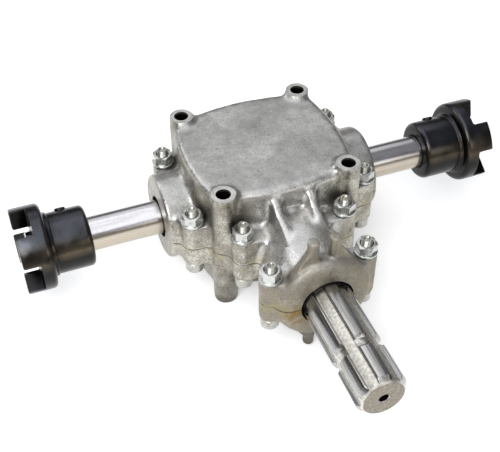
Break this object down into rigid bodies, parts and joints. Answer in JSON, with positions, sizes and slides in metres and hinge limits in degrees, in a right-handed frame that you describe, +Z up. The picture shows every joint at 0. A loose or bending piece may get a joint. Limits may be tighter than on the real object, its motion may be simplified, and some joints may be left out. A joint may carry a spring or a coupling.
{
  "type": "right angle bevel gearbox",
  "caption": "Split aluminium gearbox turning a straight cross shaft with jaw couplings into a splined power take-off shaft at right angles.",
  "frame": {"origin": "bottom centre of the bounding box, level with the feet of the clamp posts; the two shaft axes cross at x 2 mm, y 66.9 mm, z 50 mm", "axes": "+X along the cross shaft, -Y along the splined shaft, +Z up through the cover"},
  "size_m": [0.362, 0.2722, 0.0995],
  "materials": {
    "cast_aluminium": "as-cast, matte",
    "ground_steel": "ground and polished",
    "gear_steel": "machined, oiled",
    "bearing_steel": "polished",
    "black_oxide": "black oxide, satin",
    "zinc_plate": "bright zinc plate",
    "seal_rubber": "matte"
  },
  "bodies": {
    "housing": {"upper_case": "cast_aluminium", "lower_case": "cast_aluminium", "left_bearing_outer_race": "bearing_steel", "right_bearing_outer_race": "bearing_steel", "nose_bearing_outer_race": "bearing_steel", "inner_bearing_outer_race": "bearing_steel", "left_oil_seal": "seal_rubber", "right_oil_seal": "seal_rubber", "nose_oil_seal": "seal_rubber", "bolt_nose_left": "zinc_plate", "bolt_nose_right": "zinc_plate", "bolt_front_left": "zinc_plate", "bolt_front_right": "zinc_plate", "bolt_left_front": "zinc_plate", "bolt_left_rear": "zinc_plate", "bolt_right_front": "zinc_plate", "bolt_right_rear": "zinc_plate", "bolt_rear_left": "zinc_plate", "bolt_rear_right": "zinc_plate", "nut_nose_left": "zinc_plate", "nut_nose_right": "zinc_plate", "nut_front_left": "zinc_plate", "nut_front_right": "zinc_plate", "nut_left_front": "zinc_plate", "nut_left_rear": "zinc_plate", "nut_right_front": "zinc_plate", "nut_right_rear": "zinc_plate", "nut_rear_left": "zinc_plate", "nut_rear_right": "zinc_plate"},
    "cross_shaft_assembly": {"cross_shaft": "ground_steel", "cross_shaft_bevel_gear": "gear_steel", "cross_gear_key": "gear_steel", "left_bearing_inner_race": "bearing_steel", "right_bearing_inner_race": "bearing_steel", "left_circlip": "gear_steel", "right_circlip": "gear_steel", "cross_spacer": "gear_steel", "left_coupling": "black_oxide", "left_coupling_key": "gear_steel", "left_coupling_set_screw": "black_oxide", "right_coupling": "black_oxide", "right_coupling_key": "gear_steel", "right_coupling_set_screw": "black_oxide"},
    "pto_shaft_assembly": {"pto_shaft": "ground_steel", "pto_shaft_bevel_gear": "gear_steel", "pto_gear_key": "gear_steel", "nose_bearing_inner_race": "bearing_steel", "inner_bearing_inner_race": "bearing_steel", "pto_circlip": "gear_steel", "pto_spacer": "gear_steel"},
    "left_bearing_cage": {"left_bearing_balls": "bearing_steel"},
    "right_bearing_cage": {"right_bearing_balls": "bearing_steel"},
    "nose_bearing_cage": {"nose_bearing_balls": "bearing_steel"},
    "inner_bearing_cage": {"inner_bearing_balls": "bearing_steel"}
  },
  "joints": [
    {"name": "cross_shaft_spin", "type": "hinge", "parent": "housing", "child": "cross_shaft_assembly", "pos_m": [0.002, 0.0669, 0.05], "axis": [1, 0, 0], "continuous": true},
    {"name": "pto_shaft_spin", "type": "hinge", "parent": "housing", "child": "pto_shaft_assembly", "pos_m": [0.002, 0.0669, 0.05], "axis": [0, 1, 0], "continuous": true},
    {"name": "left_cage_spin", "type": "hinge", "parent": "housing", "child": "left_bearing_cage", "pos_m": [0.002, 0.0669, 0.05], "axis": [1, 0, 0], "continuous": true},
    {"name": "right_cage_spin", "type": "hinge", "parent": "housing", "child": "right_bearing_cage", "pos_m": [0.002, 0.0669, 0.05], "axis": [1, 0, 0], "continuous": true},
    {"name": "nose_cage_spin", "type": "hinge", "parent": "housing", "child": "nose_bearing_cage", "pos_m": [0.002, 0.0669, 0.05], "axis": [0, 1, 0], "continuous": true},
    {"name": "inner_cage_spin", "type": "hinge", "parent": "housing", "child": "inner_bearing_cage", "pos_m": [0.002, 0.0669, 0.05], "axis": [0, 1, 0], "continuous": true}
  ],
  "couplings": [
    {"joint": "pto_shaft_spin", "follows": "cross_shaft_spin", "ratio": 1},
    {"joint": "left_cage_spin", "follows": "cross_shaft_spin", "ratio": 0.3974},
    {"joint": "right_cage_spin", "follows": "cross_shaft_spin", "ratio": 0.3974},
    {"joint": "nose_cage_spin", "follows": "cross_shaft_spin", "ratio": 0.4165},
    {"joint": "inner_cage_spin", "follows": "cross_shaft_spin", "ratio": 0.4165}
  ]
}
